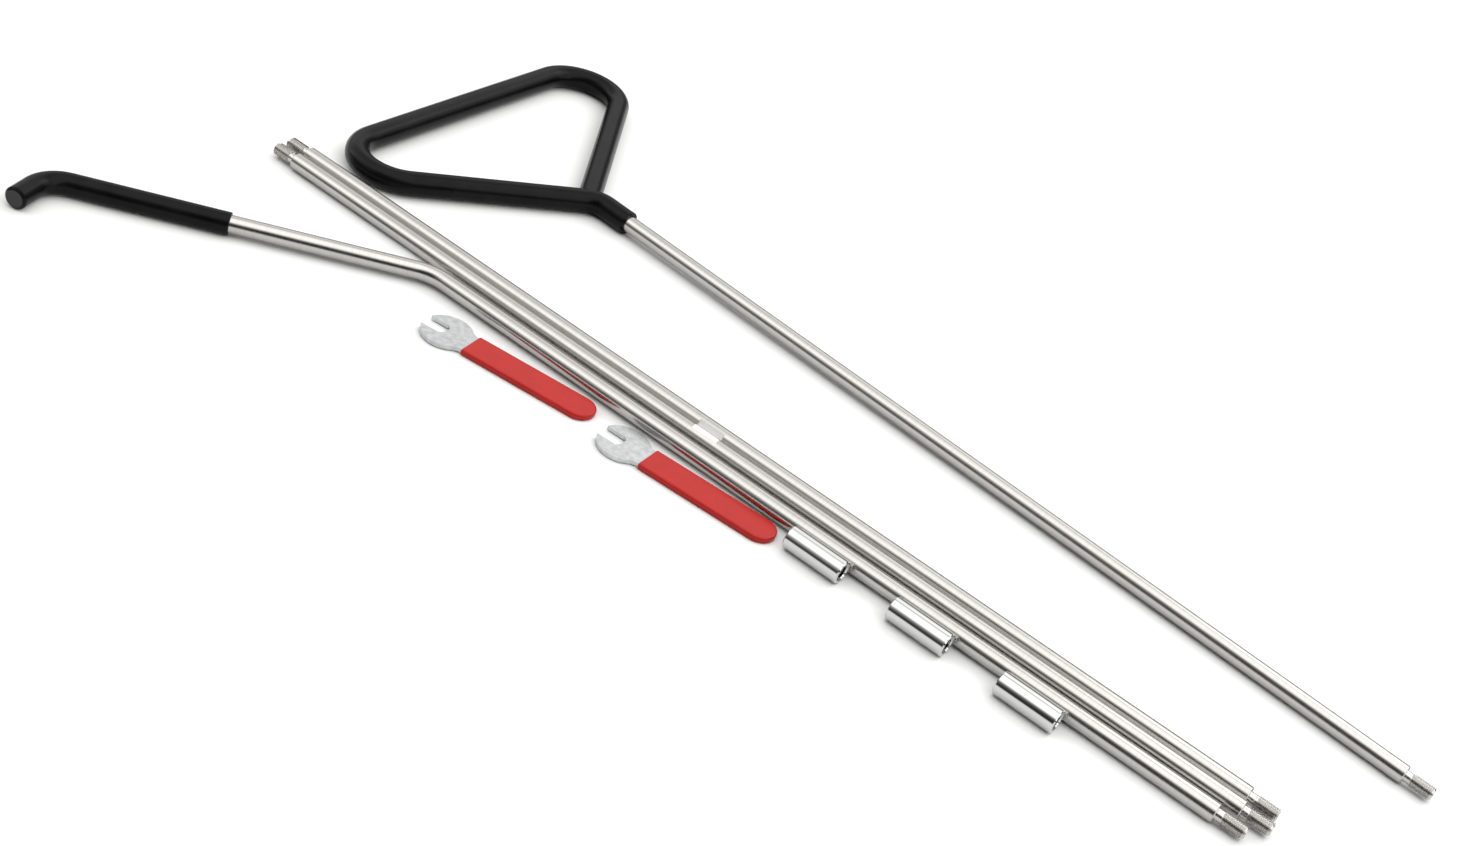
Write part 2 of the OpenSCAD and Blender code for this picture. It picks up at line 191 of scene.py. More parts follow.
# %% [markdown]
# ## Finishes
# The poles are drawn stainless bar with a faint satin ground finish: fine rings round the bar
# and slow changes in gloss along it. The sleeves are soft black rubber. The couplings are
# turned and polished, the wrenches zinc plated, and their grips dipped in red vinyl. The flat
# face on the tip of the bent sleeve has a rougher finish and a greyer base colour; the grey is
# painted reflection, standing for the light that flat face reflects. Each finish is one
# Principled shader, with noise on Object coordinates for its grain.

# %% A helper that starts a finish
def finish_named(name, colour, metallic, roughness):
    """A new material with its plain values set; returns it, its node tree and its shader."""
    made = bpy.data.materials.new(name)
    made.use_nodes = True
    tree = made.node_tree
    shader = tree.nodes["Principled BSDF"]
    shader.inputs["Base Color"].default_value = (*colour, 1)
    shader.inputs["Metallic"].default_value = metallic
    shader.inputs["Roughness"].default_value = roughness
    return made, tree, shader


def grain(tree, scale, detail=2.0, turn_deg=0.0):
    """Noise stretched by scale along X, Y and Z, after turning it about Z."""
    place = tree.nodes.new("ShaderNodeTexCoord")
    straighten = tree.nodes.new("ShaderNodeMapping")
    straighten.vector_type = "TEXTURE"
    straighten.inputs["Rotation"].default_value = (0, 0, math.radians(turn_deg))
    stretch = tree.nodes.new("ShaderNodeMapping")
    stretch.inputs["Scale"].default_value = scale
    noise = tree.nodes.new("ShaderNodeTexNoise")
    noise.inputs["Scale"].default_value = 1
    noise.inputs["Detail"].default_value = detail
    tree.links.new(place.outputs["Object"], straighten.inputs["Vector"])
    tree.links.new(straighten.outputs[0], stretch.inputs["Vector"])
    tree.links.new(stretch.outputs[0], noise.inputs["Vector"])
    return noise.outputs["Fac"]


def spread(tree, value, low, high, to_min, to_max):
    """Maps part of a noise's range to another range."""
    span = tree.nodes.new("ShaderNodeMapRange")
    for socket, number in zip(span.inputs[1:5], (low, high, to_min, to_max)):
        socket.default_value = number
    tree.links.new(value, span.inputs[0])
    return span.outputs[0]


def tint(tree, value, dark, light):
    """Blends between two colours by a value."""
    blend = tree.nodes.new("ShaderNodeMix")
    blend.data_type = "RGBA"
    blend.inputs[6].default_value = (*dark, 1)
    blend.inputs[7].default_value = (*light, 1)
    tree.links.new(value, blend.inputs[0])
    return blend.outputs[2]


def bumps(tree, shader, height, depth_mm, strength=1.0):
    """Raises the surface by a height between 0 and 1, over a depth in millimetres."""
    bump = tree.nodes.new("ShaderNodeBump")
    bump.inputs["Strength"].default_value = strength
    bump.inputs["Distance"].default_value = depth_mm * MM
    tree.links.new(height, bump.inputs["Height"])
    tree.links.new(bump.outputs[0], shader.inputs["Normal"])


print("finish helpers ready")

# %% [markdown]
# ### Satin stainless bar
# Ground bar carries rings that are far finer along its length than round it. So the noise is
# squeezed along the bar and left almost unchanged across it. Each pole lies at its own angle,
# so the finish is made once for each angle and turned to match.

# %% Make the bar finish
def bar_finish(name, turn_deg):
    made, tree, shader = finish_named(name, (0.46, 0.45, 0.43), 1.0, 0.2)
    rings = grain(tree, (1700, 60, 60), 2, turn_deg)
    patches = grain(tree, (60, 12, 12), 3, turn_deg)
    tree.links.new(tint(tree, spread(tree, rings, 0.3, 0.7, 0, 1), (0.44, 0.43, 0.41),
                        (0.48, 0.47, 0.45)), shader.inputs["Base Color"])
    tree.links.new(spread(tree, patches, 0.3, 0.7, 0.19, 0.25), shader.inputs["Roughness"])
    bumps(tree, shader, rings, 0.01, 0.15)
    return made


steel = {"straight": bar_finish("satin_stainless", 0),
         "d_pole": bar_finish("satin_stainless_d_pole", -3.7),
         "bent_leg": bar_finish("satin_stainless_bent_leg", 36.3)}
milled, tree, shader = finish_named("milled_flat", (0.80, 0.79, 0.77), 0.75, 0.5)
cutter = grain(tree, (900, 900, 900), 2, 30)
tree.links.new(spread(tree, cutter, 0.3, 0.7, 0.44, 0.58), shader.inputs["Roughness"])
tree.links.new(tint(tree, cutter, (0.66, 0.65, 0.64), (0.82, 0.81, 0.80)),
               shader.inputs["Base Color"])
bumps(tree, shader, cutter, 0.03, 0.6)
print("bar finishes:", len(steel) + 1)

# %% Make the turned and plated finishes
polished, tree, shader = finish_named("polished_stainless", (0.56, 0.56, 0.55), 1.0, 0.06)
turning = grain(tree, (1900, 3, 3), 2)
tree.links.new(spread(tree, turning, 0.35, 0.65, 0.04, 0.09), shader.inputs["Roughness"])
bumps(tree, shader, turning, 0.02, 0.25)

threads, tree, shader = finish_named("cut_thread", (0.50, 0.49, 0.47), 1.0, 0.24)
tree.links.new(spread(tree, grain(tree, (700, 700, 700)), 0.3, 0.7, 0.18, 0.32),
               shader.inputs["Roughness"])

zinc, tree, shader = finish_named("zinc_plate", (0.62, 0.63, 0.64), 1.0, 0.33)
spangle = grain(tree, (260, 260, 260), 4)
tree.links.new(tint(tree, spread(tree, spangle, 0.3, 0.7, 0, 1), (0.42, 0.43, 0.44),
                    (0.58, 0.59, 0.60)), shader.inputs["Base Color"])
tree.links.new(spread(tree, spangle, 0.3, 0.7, 0.30, 0.38), shader.inputs["Roughness"])
bumps(tree, shader, grain(tree, (1200, 1200, 1200), 3), 0.02, 0.5)
print("turned, cut and plated finishes ready")

# %% Make the rubber and the vinyl
rubber, tree, shader = finish_named("black_rubber", (0.003, 0.003, 0.0035), 0.0, 0.24)
shader.inputs["Specular IOR Level"].default_value = 0.10
skin = grain(tree, (900, 900, 900), 3)
tree.links.new(tint(tree, spread(tree, grain(tree, (60, 60, 60), 3), 0.3, 0.7, 0, 1),
                    (0.002, 0.002, 0.0025), (0.005, 0.005, 0.0055)),
               shader.inputs["Base Color"])
tree.links.new(spread(tree, skin, 0.3, 0.7, 0.20, 0.28), shader.inputs["Roughness"])
bumps(tree, shader, skin, 0.03, 0.3)

# Partly a rougher finish, partly painted reflection: the greyer base colour stands for the light
# the flat end face reflects.
tip_painted_reflection, tree, shader = finish_named("tip_face_painted_reflection", (0.035, 0.035, 0.037), 0.0, 0.55)
shader.inputs["Specular IOR Level"].default_value = 0.2
pits = grain(tree, (1500, 1500, 1500), 2)
tree.links.new(tint(tree, pits, (0.030, 0.030, 0.032), (0.040, 0.040, 0.042)),
               shader.inputs["Base Color"])
bumps(tree, shader, pits, 0.03, 0.4)

vinyl, tree, shader = finish_named("red_vinyl", (0.37, 0.008, 0.005), 0.0, 0.22)
shader.inputs["Specular IOR Level"].default_value = 0.24
flow = grain(tree, (90, 90, 90), 3)
tree.links.new(tint(tree, spread(tree, flow, 0.3, 0.7, 0, 1), (0.35, 0.007, 0.004),
                    (0.39, 0.009, 0.006)), shader.inputs["Base Color"])
tree.links.new(spread(tree, flow, 0.3, 0.7, 0.18, 0.24), shader.inputs["Roughness"])
bumps(tree, shader, grain(tree, (400, 400, 400), 2), 0.04, 0.25)
print("rubber, moulded tip and vinyl ready")

# %% [markdown]
# ## Drawing a round bar
# A bender starts with a straight bar and bends it round a former at each corner. The same
# can be done in edit mode: a circle stands across the bar's start, extrude carries it along a
# straight, and spin carries it round a bend. A curve with a round section would be quicker,
# but extrude and spin put a ring of edges exactly where a bend starts and ends.

# %% Helpers for going in and out of edit mode
def clear_selection():
    if bpy.context.object and bpy.context.object.mode != "OBJECT":
        bpy.ops.object.mode_set(mode="OBJECT")
    bpy.ops.object.select_all(action="DESELECT")


def pick(piece):
    """Selects one piece alone and makes it active."""
    clear_selection()
    piece.select_set(True)
    bpy.context.view_layer.objects.active = piece


def settle(piece):
    """Merges doubles, turns the faces outwards and shades round parts smooth."""
    pick(piece)
    bpy.ops.object.transform_apply(location=True, rotation=True, scale=True)
    bpy.ops.object.mode_set(mode="EDIT")
    bpy.ops.mesh.select_all(action="SELECT")
    bpy.ops.mesh.remove_doubles(threshold=1e-6)
    bpy.ops.mesh.normals_make_consistent(inside=False)
    bpy.ops.object.mode_set(mode="OBJECT")
    bpy.ops.object.shade_smooth_by_angle(angle=math.radians(16))


def apply_modifier(piece, kind, **values):
    """Adds a modifier, sets its values and applies it."""
    pick(piece)
    modifier = piece.modifiers.new(kind.lower(), kind)
    for key, value in values.items():
        setattr(modifier, key, value)
    bpy.ops.object.modifier_apply(modifier=modifier.name)


def edit_only(piece, kind, rule):
    """Opens a piece in edit mode with only the vertices or edges chosen by rule selected."""
    pick(piece)
    bpy.context.tool_settings.mesh_select_mode = (kind == "VERT", kind == "EDGE", False)
    mesh = piece.data
    for item in list(mesh.vertices) + list(mesh.edges) + list(mesh.polygons):
        item.select = False
    for item in mesh.vertices if kind == "VERT" else mesh.edges:
        ends = [item.co] if kind == "VERT" else [mesh.vertices[i].co for i in item.vertices]
        if rule(*ends):
            item.select = True
            for i in [item.index] if kind == "VERT" else item.vertices:
                mesh.vertices[i].select = True
    bpy.ops.object.mode_set(mode="EDIT")


print("edit helpers ready")

# %% A helper that draws a bar along its corner points
def flat_turn(a, b):
    """Angle from direction a to direction b about Z, between -180 and 180 degrees."""
    return math.atan2(a.x * b.y - a.y * b.x, a.x * b.x + a.y * b.y)


def start_bar(name, at, along, radius, sides=64):
    clear_selection()
    bpy.ops.mesh.primitive_circle_add(
        vertices=sides, radius=radius, location=at,
        rotation=(0, math.pi / 2, math.atan2(along.y, along.x)))
    piece = bpy.context.object
    piece.name = name
    piece.data.name = name
    bpy.ops.object.transform_apply(location=True, rotation=True, scale=True)
    bpy.ops.object.mode_set(mode="EDIT")
    bpy.ops.mesh.select_all(action="SELECT")
    return piece


def draw_on(step, grow=1.0, centre=None):
    """Extrudes the selected ring by step, then scales it about its new centre."""
    bpy.ops.mesh.extrude_region_move(TRANSFORM_OT_translate={"value": step})
    if grow != 1.0:
        bpy.ops.transform.resize(value=(grow, grow, grow), center_override=centre)


def draw_bend(centre, sweep, steps):
    """Spins the selected ring round a centre, about Z."""
    bpy.ops.mesh.spin(steps=steps, angle=sweep, center=centre, axis=(0, 0, 1))


def close_end():
    bpy.ops.mesh.edge_face_add()


def bar_through(name, corners, bend_radii, radius, start_steps=(), end_steps=(), bend_steps=14,
                spin_sign=1):
    """A round bar through corner points, with rounded bends and turned ends.

    start_steps and end_steps are (distance along the bar, radius) pairs in metres.
    """
    heads = [(b - a).normalized() for a, b in zip(corners, corners[1:])]
    first = start_steps[0][1] if start_steps else radius
    piece = start_bar(name, corners[0], heads[0], first)
    close_end()
    at, now, gone = corners[0].copy(), first, 0.0
    for along, new in start_steps[1:]:
        at = at + heads[0] * (along - gone)
        draw_on(heads[0] * (along - gone), new / now, at)
        now, gone = new, along
    for i, head in enumerate(heads):
        goal = corners[i + 1]
        if i < len(heads) - 1:
            turn_by = flat_turn(head, heads[i + 1])
            cut = bend_radii[i] * math.tan(abs(turn_by) / 2)
            goal = goal - head * cut
        elif end_steps:
            goal = goal - head * end_steps[-1][0]
        draw_on(goal - at)
        at = goal
        if i < len(heads) - 1:
            side = Vector((-head.y, head.x, 0)) * (1 if turn_by > 0 else -1)
            centre = at + side * bend_radii[i]
            draw_bend(centre, spin_sign * turn_by, bend_steps)
            at = corners[i + 1] + heads[i + 1] * cut
    gone = 0.0
    for along, new in end_steps:
        at = at + heads[-1] * (along - gone)
        draw_on(heads[-1] * (along - gone), new / now, at)
        now, gone = new, along
    close_end()
    clear_selection()
    return piece


trial = bar_through("trial", [Vector((0, 0, 0)), Vector((0.1, 0, 0)), Vector((0.1, 0.1, 0))],
                    [0.02], 0.005)
reach = [max(v.co[i] for v in trial.data.vertices) for i in range(3)]
SPIN = 1 if reach[0] > 0.1 else -1
print("trial bar reaches", [round(v, 4) for v in reach], "so spin turns by", SPIN)
bpy.data.objects.remove(trial)

# %% [markdown]
# ## The poles' own shapes
# Half-inch round bar has a radius of 6.35 mm. The corner points of both bent poles are written
# as the bender would read them from the drawing, from the shoulder along the shaft. A sleeve
# makes its end of a pole fatter, so on the floor the pole lies a fraction of a degree nose
# down, and every piece of it is tipped by that angle about its shoulder.

# %% Corner points of both bent poles
BAR_R = 6.35
END_BEVEL = 0.6
GRIP_R = 9.0
BENT_GRIP_R = 7.9


def unit(v):
    return v.normalized()


D_BEND = Vector((692, 0, 0))
D_NEAR = D_BEND + Vector((128, 202, 0))
D_FAR = D_BEND + Vector((172, -231.5, 0))
D_SLEEVE = 659.5
half_neck = flat_turn(Vector((1, 0, 0)), unit(D_NEAR - D_BEND)) / 2
NECK_R = 19.0
WELD = D_BEND + 7.5 * unit(D_NEAR - D_BEND)
D_CORNERS = [Vector((0, 0, 0)), D_BEND, D_NEAR, D_FAR, WELD]
D_RADII = [NECK_R, 33.5, 33.5]

bend, hook = math.radians(36), math.radians(108)
B_CORNER = Vector((613, 0, 0))
B_RADII = [38, 21.5]
LEG = Vector((math.cos(bend), math.sin(bend), 0))
HOOK = Vector((math.cos(hook), math.sin(hook), 0))
B_ELBOW = B_CORNER + 257 * LEG
B_TIP = B_ELBOW + 35 * HOOK
B_SLEEVE = B_CORNER + 137 * LEG
print("weld point", [round(v, 1) for v in WELD], "hook tip", [round(v, 1) for v in B_TIP])

# %% Helpers that lay a finished pole on the floor
def in_metres(points):
    return [p * MM for p in points]


def lay_pole(piece, mount, tilt):
    """Tips a pole drawn along +X by its tilt, turns it to its heading and puts it in place."""
    shoulder, along = shoulder_of(mount)
    level = Matrix.Translation((shoulder.x, shoulder.y, BAR_R * MM))
    swing = Matrix.Rotation(math.atan2(along.y, along.x), 4, "Z")
    piece.matrix_world = level @ swing @ Matrix.Rotation(-tilt, 4, "Y")
    settle(piece)


neck_start = D_BEND.x - NECK_R * math.tan(half_neck) - 0.5
D_TILT = max(math.asin((GRIP_R - BAR_R) / D_SLEEVE),
             math.asin((GRIP_R + 0.1 - BAR_R) / neck_start))
B_TILT = math.asin((BENT_GRIP_R - BAR_R) / B_SLEEVE.x)
print("tilts in degrees:", round(math.degrees(D_TILT), 3), round(math.degrees(B_TILT), 3))

# %% [markdown]
# ## The screw thread
# The ends are cut with a 3/8 inch thread, about 20 turns to the inch. A row of rings would
# pass at a glance, but a real thread leans. A flat tooth shape is drawn once beside the axis,
# and the Screw modifier winds it up along the stub. The root cylinder, the plain neck next to
# the shoulder and the bevelled tip are turned from one circle.

# %% Wind one thread
PITCH = 25.4 / 20
THREAD_R = 9.525 / 2
ROOT_R = THREAD_R - 0.6134 * PITCH
RELIEF_R = ROOT_R - 0.15
STUB_L = 4 + 12 * PITCH


def wound_tooth(name, inner, outer, base, crest, start, turns):
    """A helical ridge along +X: a tooth with its base at one radius and its crest at another."""
    clear_selection()
    bpy.ops.mesh.primitive_plane_add(size=1, location=(start * MM, 0, 0),
                                     rotation=(math.pi / 2, 0, 0))
    ridge = bpy.context.object
    ridge.name = name
    bpy.ops.object.transform_apply(location=True, rotation=True, scale=True)
    for vert in ridge.data.vertices:
        at_crest = vert.co.z > 0
        half = (crest if at_crest else base) / 2
        side = 1 if vert.co.x > start * MM else -1
        vert.co = Vector((start + side * half, 0, outer if at_crest else inner)) * MM
    bpy.ops.object.mode_set(mode="EDIT")
    bpy.ops.mesh.select_all(action="SELECT")
    bpy.ops.mesh.delete(type="ONLY_FACE")
    bpy.ops.object.mode_set(mode="OBJECT")
    apply_modifier(ridge, "SCREW", axis="X", screw_offset=PITCH * MM, iterations=turns,
                   steps=40, render_steps=40, use_merge_vertices=False)
    pick(ridge)
    bpy.ops.object.mode_set(mode="EDIT")
    bpy.ops.mesh.select_all(action="SELECT")
    bpy.ops.mesh.fill_holes(sides=4)
    bpy.ops.object.mode_set(mode="OBJECT")
    settle(ridge)
    return ridge


ridge = wound_tooth("male_ridge", ROOT_R - 0.1, THREAD_R, 1.1, 0.2, 4.65, 11)
print("male ridge runs", round(min(v.co.x for v in ridge.data.vertices) / MM, 2), "to",
      round(max(v.co.x for v in ridge.data.vertices) / MM, 2), "mm from the shoulder")

# %% Turn the stub that carries it
ridge.data.materials.append(threads)
stub_steps = [(-1.0, RELIEF_R), (3.7, RELIEF_R), (4.1, ROOT_R), (STUB_L - 0.8, ROOT_R),
              (STUB_L - 0.1, ROOT_R - 0.6)]
stub_steps = [((a + 1.0) * MM, r * MM) for a, r in stub_steps]
core = bar_through("male_core", in_metres([Vector((-1, 0, 0)), Vector((STUB_L, 0, 0))]), [],
                   RELIEF_R * MM, start_steps=stub_steps)
core.data.materials.append(threads)
settle(core)
pick(core)
ridge.select_set(True)
bpy.ops.object.join()
stub = core
stub.name = "male_stub"
print("stub faces:", len(stub.data.polygons))


def copy_of(piece, name, matrix):
    """A copy with its own mesh, moved into place; the stubs are joined to their poles afterwards.
    """
    pick(piece)
    bpy.ops.object.duplicate(linked=False)
    twin = bpy.context.object
    twin.name = name
    twin.matrix_world = matrix
    bpy.ops.object.transform_apply(location=True, rotation=True, scale=True)
    return twin


def join(main, *others):
    pick(main)
    for other in others:
        other.select_set(True)
    bpy.ops.object.join()


TURN_BACK = Matrix.Rotation(math.pi, 4, "Z")

# %% [markdown]
# ## The D handle pole
# One bar runs from the thread up the shaft, bends out at the neck, goes round two corners and
# comes back to be welded onto the first leg, just past the neck bend. The black sleeve covers
# the loop and a short neck. It is drawn as its own tube round the same corner points, so both
# always agree.

# %% Draw the D pole's bar
shoulder_bevel = [(0.0, (BAR_R - END_BEVEL) * MM), (END_BEVEL * MM, BAR_R * MM)]
d_bar = bar_through("d_pole_bar", in_metres(D_CORNERS), [r * MM for r in D_RADII], BAR_R * MM,
                    start_steps=shoulder_bevel, spin_sign=SPIN)
d_bar.data.materials.append(steel["d_pole"])
d_stub = copy_of(stub, "d_stub", TURN_BACK)
join(d_bar, d_stub)
lay_pole(d_bar, "d_handle_thread", D_TILT)
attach(d_bar, "d_handle_pole")
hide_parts("d_handle_shaft", "d_handle_bar")
print("D pole bar faces:", len(d_bar.data.polygons))

# %% Pull the black sleeve over the loop
sleeve_start = [(0.0, (BAR_R - 0.2) * MM), (0.0, (GRIP_R - 0.7) * MM),
                (0.2 * MM, (GRIP_R - 0.2) * MM), (0.7 * MM, GRIP_R * MM)]
d_grip = bar_through("d_pole_sleeve", in_metres([Vector((D_SLEEVE, 0, 0))] + D_CORNERS[1:]),
                     [r * MM for r in D_RADII], GRIP_R * MM, start_steps=sleeve_start,
                     bend_steps=22, spin_sign=SPIN)
d_grip.data.materials.append(rubber)
lay_pole(d_grip, "d_handle_thread", D_TILT)
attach(d_grip, "d_handle_pole")
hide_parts("d_handle_grip")
print("D sleeve faces:", len(d_grip.data.polygons))

# %% [markdown]
# ## The bent handle pole
# The shaft bends away by 36 degrees, and its end hooks round by another 72. The sleeve closes
# over the tip with a flat face and a broad bevel, which catches the light as a thin arc.

# %% Draw the bent pole's bar
b_corners = [Vector((0, 0, 0)), B_CORNER, B_ELBOW, B_TIP - 3 * HOOK]
b_bar = bar_through("bent_pole_bar", in_metres(b_corners), [r * MM for r in B_RADII], BAR_R * MM,
                    start_steps=shoulder_bevel, bend_steps=18, spin_sign=SPIN)
b_bar.data.materials.append(steel["straight"])
b_bar.data.materials.append(steel["bent_leg"])
for face in b_bar.data.polygons:
    if face.center.x > (B_CORNER.x + 6) * MM:
        face.material_index = 1
b_stub = copy_of(stub, "b_stub", TURN_BACK)
join(b_bar, b_stub)
lay_pole(b_bar, "bent_handle_thread", B_TILT)
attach(b_bar, "bent_handle_pole")
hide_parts("bent_handle_shaft", "bent_handle_bar")
print("bent pole bar faces:", len(b_bar.data.polygons))

# %% Pull the black sleeve over the hook
tip_steps = [(0.0, BENT_GRIP_R * MM), (0.3 * MM, (BENT_GRIP_R - 0.15) * MM),
             (1.5 * MM, (BENT_GRIP_R - 1.35) * MM), (1.8 * MM, (BENT_GRIP_R - 1.9) * MM)]
b_start = [(0.0, (BAR_R - 0.2) * MM), (0.0, (BENT_GRIP_R - 0.5) * MM),
           (0.15 * MM, (BENT_GRIP_R - 0.15) * MM), (0.5 * MM, BENT_GRIP_R * MM)]
b_grip = bar_through("bent_pole_sleeve", in_metres([B_SLEEVE, B_ELBOW, B_TIP]), [B_RADII[1] * MM],
                     BENT_GRIP_R * MM, start_steps=b_start, end_steps=tip_steps,
                     bend_steps=22, spin_sign=SPIN)
b_grip.data.materials.append(rubber)
b_grip.data.materials.append(tip_painted_reflection)
# The flat end face takes the greyer tip finish, whose grey is painted reflection.
for face in b_grip.data.polygons:
    if (face.center - B_TIP * MM).dot(HOOK) > -0.05 * MM:
        face.material_index = 1
lay_pole(b_grip, "bent_handle_thread", B_TILT)
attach(b_grip, "bent_handle_pole")
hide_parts("bent_handle_grip")
print("bent sleeve faces:", len(b_grip.data.polygons))

# %% [markdown]
# ## The extension rods
# Each rod has a thread at both ends, and two opposite flats near its middle for a wrench. The
# flats are milled: a Boolean takes two blocks away, as the cutter does. Their finish is coarser
# than the bar's, so they gather light from all round. The rod gets a ring of
# edges just outside the flats first, so the cut disturbs only that short stretch.

# %% Draw one rod and mill its flats
ROD_L = 777
FLAT_FROM, FLAT_TO = ROD_L / 2 - 21, ROD_L / 2 - 1
FLAT_Z = 5.9
CUTTER_T = 10


def extension_rod(name, node, body, low_mount, roll_deg):
    steps = shoulder_bevel + [((FLAT_FROM - 1) * MM, BAR_R * MM),
                              ((FLAT_TO + 1) * MM, BAR_R * MM)]
    rod = bar_through(name, in_metres([Vector((0, 0, 0)), Vector((ROD_L, 0, 0))]), [], BAR_R * MM,
                      start_steps=steps, end_steps=[(0.0, BAR_R * MM),
                                                    (END_BEVEL * MM, (BAR_R - END_BEVEL) * MM)])
    settle(rod)
    rod.data.materials.append(steel["straight"])
    rod.data.materials.append(milled)
    for side in (-1, 1):
        clear_selection()
        bpy.ops.mesh.primitive_cube_add(size=1, location=((FLAT_FROM + FLAT_TO) / 2 * MM, 0,
                                                          side * (FLAT_Z + CUTTER_T / 2) * MM))
        cutter = bpy.context.object
        cutter.scale = ((FLAT_TO - FLAT_FROM) * MM, 30 * MM, CUTTER_T * MM)
        pick(cutter)
        bpy.ops.object.transform_apply(location=True, rotation=True, scale=True)
        apply_modifier(rod, "BOOLEAN", operation="DIFFERENCE", object=cutter, solver="EXACT")
        bpy.data.objects.remove(cutter)
    for face in rod.data.polygons:
        middle = FLAT_FROM * MM < face.center.x < FLAT_TO * MM
        face.material_index = 1 if middle and abs(abs(face.center.z) - FLAT_Z * MM) < 1e-5 else 0
    low = copy_of(stub, name + "_low", TURN_BACK)
    high = copy_of(stub, name + "_high", Matrix.Translation((ROD_L * MM, 0, 0)))
    join(rod, low, high)
    shoulder, _ = shoulder_of(low_mount)
    place = Matrix.Translation((shoulder.x, shoulder.y, BAR_R * MM))
    rod.matrix_world = place @ Matrix.Rotation(math.radians(roll_deg), 4, "X")
    settle(rod)
    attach(rod, body)
    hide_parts(node)
    return rod


rods = [extension_rod("extension_pole_1", "extension_rod_1", "extension_1",
                      "extension_1_thread_low_x", 54),
        extension_rod("extension_pole_2", "extension_rod_2", "extension_2",
                      "extension_2_thread_low_x", 5)]
print("rod faces:", [len(rod.data.polygons) for rod in rods])

# %% [markdown]
# ## The coupling sleeves
# A coupling is turned from bar, bored through and tapped. Its wall is a small rectangle beside
# the axis. The rectangle's corners are cut off and it is spun once round, which gives the
# outside, both bevels, the lead-ins and the bore in one closed shape. The tapped thread is
# wound inside the bore with the same tooth helper as the poles' threads.

# %% Spin one coupling and wind its inner thread
COUPLING_R, COUPLING_L, BORE_R = 7.95, 41.0, 4.86
clear_selection()
bpy.ops.mesh.primitive_plane_add(size=1, rotation=(math.pi / 2, 0, 0),
                                 location=(0, 0, (COUPLING_R + BORE_R) / 2 * MM))
coupling = bpy.context.object
coupling.name = "coupling_pattern"
coupling.scale = (COUPLING_L * MM, (COUPLING_R - BORE_R) * MM, 1)
bpy.ops.object.transform_apply(location=True, rotation=True, scale=True)
for rule, width in ((lambda a: a.z > 6.5 * MM, 0.6), (lambda a: a.z < 5.5 * MM, 0.9)):
    edit_only(coupling, "VERT", rule)
    bpy.ops.mesh.bevel(offset=width * MM, affect="VERTICES", segments=1)
bpy.ops.mesh.select_all(action="SELECT")
bpy.ops.mesh.delete(type="ONLY_FACE")
bpy.ops.mesh.select_all(action="SELECT")
bpy.ops.mesh.spin(steps=96, angle=2 * math.pi, center=(0, 0, 0), axis=(1, 0, 0))
settle(coupling)
coupling.data.materials.append(polished)
inner = wound_tooth("inner_ridge", BORE_R + 0.1, BORE_R - 0.65, 1.05, 0.25,
                    -COUPLING_L / 2 + 1.6, 29)
inner.data.materials.append(threads)
join(coupling, inner)
settle(coupling)
print("coupling faces:", len(coupling.data.polygons), "size",
      [round(v / MM, 1) for v in coupling.dimensions])

# %% Lay three couplings in their row
for i in (1, 2, 3):
    low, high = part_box("coupling_%d" % i)
    centre = (Vector(low) + Vector(high)) / 2
    roll = Matrix.Rotation(math.radians(40 * i), 4, "X")
    piece = copy_of(coupling, "coupling_sleeve_%d" % i, Matrix.Translation(centre) @ roll)
    settle(piece)
    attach(piece, "sleeve_%d" % i)
    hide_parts("coupling_%d" % i)
bpy.data.objects.remove(coupling)
bpy.data.objects.remove(stub)
print("couplings laid")

# %% [markdown]
# ## The wrenches
# A flat wrench is stamped from plate: a round head with a straight slot, a waist and a shank.
# The outline is put together like a paper cut-out from a disc, a shank and two round bites at
# the waist, with Booleans, because each of those has one clear size. A Bevel modifier then
# softens the rim, where a stamped and plated edge always catches the light.

# %% Helpers that add a block and a disc of plate
PLATE_Z, PLATE_T = 0.8, 3.0


def block(x0, x1, y0, y1, z0, z1):
    clear_selection()
    bpy.ops.mesh.primitive_cube_add(size=1, location=((x0 + x1) / 2 * MM, (y0 + y1) / 2 * MM,
                                                      (z0 + z1) / 2 * MM))
    made = bpy.context.object
    made.scale = ((x1 - x0) * MM, (y1 - y0) * MM, (z1 - z0) * MM)
    bpy.ops.object.transform_apply(location=True, rotation=True, scale=True)
    return made


def disc(x, y, r, z0, z1, sides=128):
    clear_selection()
    bpy.ops.mesh.primitive_cylinder_add(vertices=sides, radius=r * MM, depth=(z1 - z0) * MM,
                                        location=(x * MM, y * MM, (z0 + z1) / 2 * MM))
    made = bpy.context.object
    bpy.ops.object.transform_apply(location=True, rotation=True, scale=True)
    return made


def combine(piece, tool, operation):
    apply_modifier(piece, "BOOLEAN", operation=operation, object=tool, solver="EXACT")
    bpy.data.objects.remove(tool)


def tidy_flat(piece):
    """Removes the lines that Booleans leave on flat faces."""
    pick(piece)
    bpy.ops.object.mode_set(mode="EDIT")
    bpy.ops.mesh.select_all(action="SELECT")
    bpy.ops.mesh.remove_doubles(threshold=2e-6)
    bpy.ops.mesh.dissolve_limited(angle_limit=math.radians(0.5))
    bpy.ops.object.mode_set(mode="OBJECT")


print("plate helpers ready")

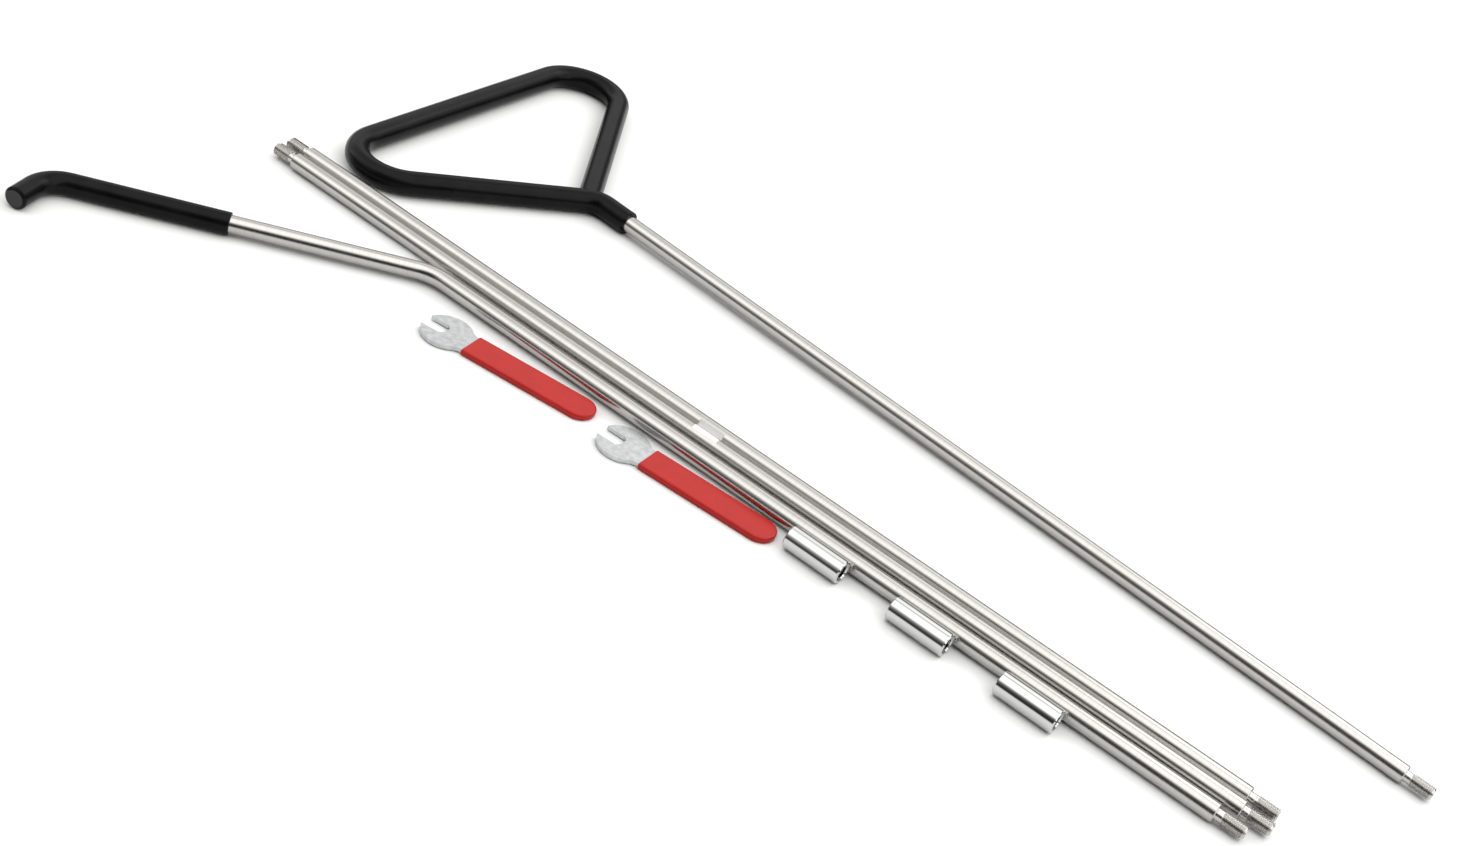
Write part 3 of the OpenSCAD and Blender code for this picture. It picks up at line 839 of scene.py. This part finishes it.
# %% Cut out one wrench blade
HEAD_R, JAW, SHANK, WAIST_R = 17.75, 12.1, 20.0, 9.0
HEAD_X = HEAD_R - 0.9
waist_y = SHANK / 2 + WAIST_R
waist_x = HEAD_X + math.sqrt((HEAD_R + WAIST_R) ** 2 - waist_y ** 2)
touch_x = HEAD_X + HEAD_R * (waist_x - HEAD_X) / (HEAD_R + WAIST_R)
touch_y = HEAD_R * waist_y / (HEAD_R + WAIST_R)
top = PLATE_Z + PLATE_T
blade = disc(HEAD_X, 0, HEAD_R, PLATE_Z, top)
blade.name = "wrench_blade_pattern"
combine(blade, block(touch_x, waist_x, -touch_y, touch_y, PLATE_Z, top), "UNION")
combine(blade, block(HEAD_X, 117, -SHANK / 2, SHANK / 2, PLATE_Z, top), "UNION")
for side in (-1, 1):
    combine(blade, disc(waist_x, side * waist_y, WAIST_R, PLATE_Z - 1, top + 1), "DIFFERENCE")
slot = block(-5, HEAD_X, -JAW / 2, JAW / 2, PLATE_Z - 1, top + 1)
edit_only(slot, "EDGE", lambda a, b: min(a.x, b.x) > 0 and abs(a.z - b.z) > 1 * MM)
bpy.ops.mesh.bevel(offset=JAW / 4 * MM, affect="EDGES", segments=1)
bpy.ops.object.mode_set(mode="OBJECT")
combine(blade, slot, "DIFFERENCE")
tidy_flat(blade)
print("blade faces before its rim is softened:", len(blade.data.polygons))

# %% Soften the blade's rim
apply_modifier(blade, "BEVEL", width=0.55 * MM, segments=4, limit_method="ANGLE",
               angle_limit=math.radians(35))
blade.data.materials.append(zinc)
settle(blade)
print("blade faces:", len(blade.data.polygons), "size",
      [round(v / MM, 1) for v in blade.dimensions])

# %% [markdown]
# ### The dipped grips
# The shank is dipped in liquid vinyl, which leaves an even skin with soft edges, a round tail
# and a straight mouth. A circle is stretched into a long oval track, its front is cut off
# straight with bisect, and the flat shape is pulled up to its thickness and bevelled.

# %% Dip one grip
GRIP_START, WRENCH_L, VINYL_R, VINYL_T = 35.5, 133.0, 11.5, 4.6
tail_x = WRENCH_L - VINYL_R
clear_selection()
bpy.ops.mesh.primitive_circle_add(vertices=96, radius=VINYL_R * MM, fill_type="NGON",
                                  location=(tail_x * MM, 0, 0))
dip = bpy.context.object
dip.name = "wrench_grip_pattern"
bpy.ops.object.transform_apply(location=True, rotation=True, scale=True)
edit_only(dip, "VERT", lambda a: a.x < (tail_x - 0.01) * MM)
bpy.ops.transform.translate(value=(-(tail_x - GRIP_START) * MM, 0, 0))
bpy.ops.mesh.select_all(action="SELECT")
bpy.ops.mesh.bisect(plane_co=(GRIP_START * MM, 0, 0), plane_no=(1, 0, 0), clear_inner=True)
bpy.ops.mesh.select_all(action="SELECT")
bpy.ops.mesh.extrude_region_move(TRANSFORM_OT_translate={"value": (0, 0, VINYL_T * MM)})
settle(dip)
apply_modifier(dip, "BEVEL", width=1.35 * MM, segments=6, limit_method="ANGLE",
               angle_limit=math.radians(35))
dip.data.materials.append(vinyl)
settle(dip)
print("grip faces:", len(dip.data.polygons), "size", [round(v / MM, 1) for v in dip.dimensions])

# %% Lay both wrenches down
JAW_MOUNT_IN = 7
for i in (1, 2):
    jaw = mounts["wrench_%d_jaw" % i]
    along = -Vector(jaw["axis"])
    tips = Vector(jaw["pos_m"]) - JAW_MOUNT_IN * MM * along
    place = Matrix.Translation((tips.x, tips.y, 0)) @ Matrix.Rotation(
        math.atan2(along.y, along.x), 4, "Z")
    for pattern, name, node, finish in ((blade, "wrench_plate_%d", "wrench_%d_blade", "zinc_plate"),
                                        (dip, "wrench_dip_%d", "wrench_%d_grip", "red_vinyl")):
        piece = copy_of(pattern, name % i, place)
        settle(piece)
        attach(piece, "wrench_%d" % i)
        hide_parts(node % i)
bpy.data.objects.remove(blade)
bpy.data.objects.remove(dip)
print("wrenches laid")
